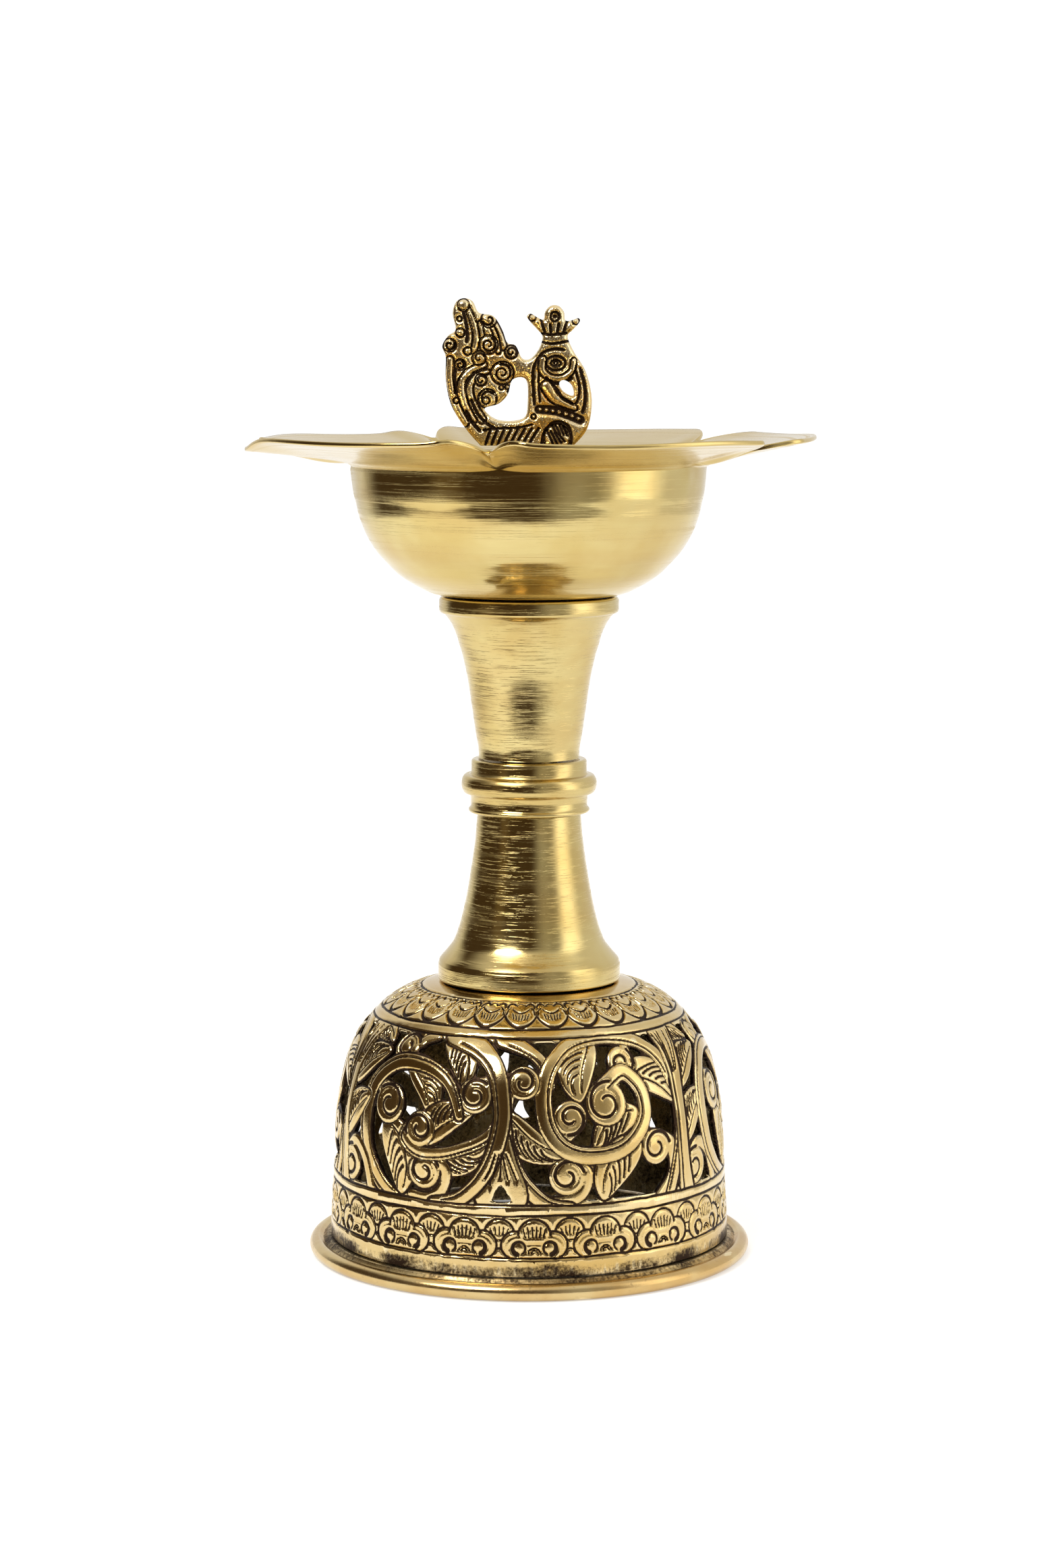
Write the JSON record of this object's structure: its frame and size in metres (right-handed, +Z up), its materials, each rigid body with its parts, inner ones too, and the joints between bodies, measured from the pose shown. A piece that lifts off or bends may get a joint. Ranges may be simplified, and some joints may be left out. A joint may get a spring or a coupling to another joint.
{
  "type": "standing oil lamp",
  "caption": "Brass standing oil lamp: pierced scrollwork dome base, turned stem with a knop, and an open bowl with a petal rim pinched into wick spouts and a peacock finial.",
  "frame": {"origin": "on the lamp's axis, in the plane that the foot ring stands on", "axes": "+Z up along the turning axis; the peacock's plaque lies in the XZ plane with its head towards +X; the front is -Y"},
  "size_m": [0.1143, 0.1149, 0.1953],
  "materials": {
    "polished_brass": "lathe-polished pale gold with fine turning lines",
    "antique_brass": "burnished brass with dark patina in the chased grooves",
    "cast_brass": "plain machined casting",
    "leather_packing": "oiled brown leather"
  },
  "bodies": {
    "base": {"foot_ring": "antique_brass", "dome_shell": "antique_brass", "dome_boss": "cast_brass"},
    "foot_washer": {"foot_washer": "leather_packing"},
    "stem": {"lower_stem": "polished_brass", "knop": "polished_brass", "upper_stem": "polished_brass", "stem_top_plug": "cast_brass"},
    "bowl_washer": {"bowl_washer": "leather_packing"},
    "bowl": {"bowl": "polished_brass", "bowl_stud": "cast_brass"},
    "finial_washer": {"finial_washer": "leather_packing"},
    "finial": {"finial_post": "polished_brass", "peacock": "antique_brass", "finial_pin": "cast_brass"}
  },
  "joints": [
    {"name": "stem_rise", "type": "slide", "parent": "base", "child": "foot_washer", "axis": [0, 0, 1], "range_m": [0, 0.0075]},
    {"name": "stem_turn", "type": "hinge", "parent": "foot_washer", "child": "stem", "pos_m": [0, 0, 0.057], "axis": [0, 0, 1], "range_deg": [0, 1800]},
    {"name": "bowl_rise", "type": "slide", "parent": "stem", "child": "bowl_washer", "axis": [0, 0, 1], "range_m": [0, 0.0075]},
    {"name": "bowl_turn", "type": "hinge", "parent": "bowl_washer", "child": "bowl", "pos_m": [0, 0, 0.1354], "axis": [0, 0, 1], "range_deg": [0, 2160]},
    {"name": "finial_rise", "type": "slide", "parent": "bowl", "child": "finial_washer", "axis": [0, 0, 1], "range_m": [0, 0.005]},
    {"name": "finial_turn", "type": "hinge", "parent": "finial_washer", "child": "finial", "pos_m": [0, 0, 0.1472], "axis": [0, 0, 1], "range_deg": [0, 1800]}
  ],
  "couplings": [
    {"joint": "stem_turn", "follows": "stem_rise", "rad_per_m": 4188.8},
    {"joint": "bowl_turn", "follows": "bowl_rise", "rad_per_m": 5026.5},
    {"joint": "finial_turn", "follows": "finial_rise", "rad_per_m": 6283.2}
  ]
}
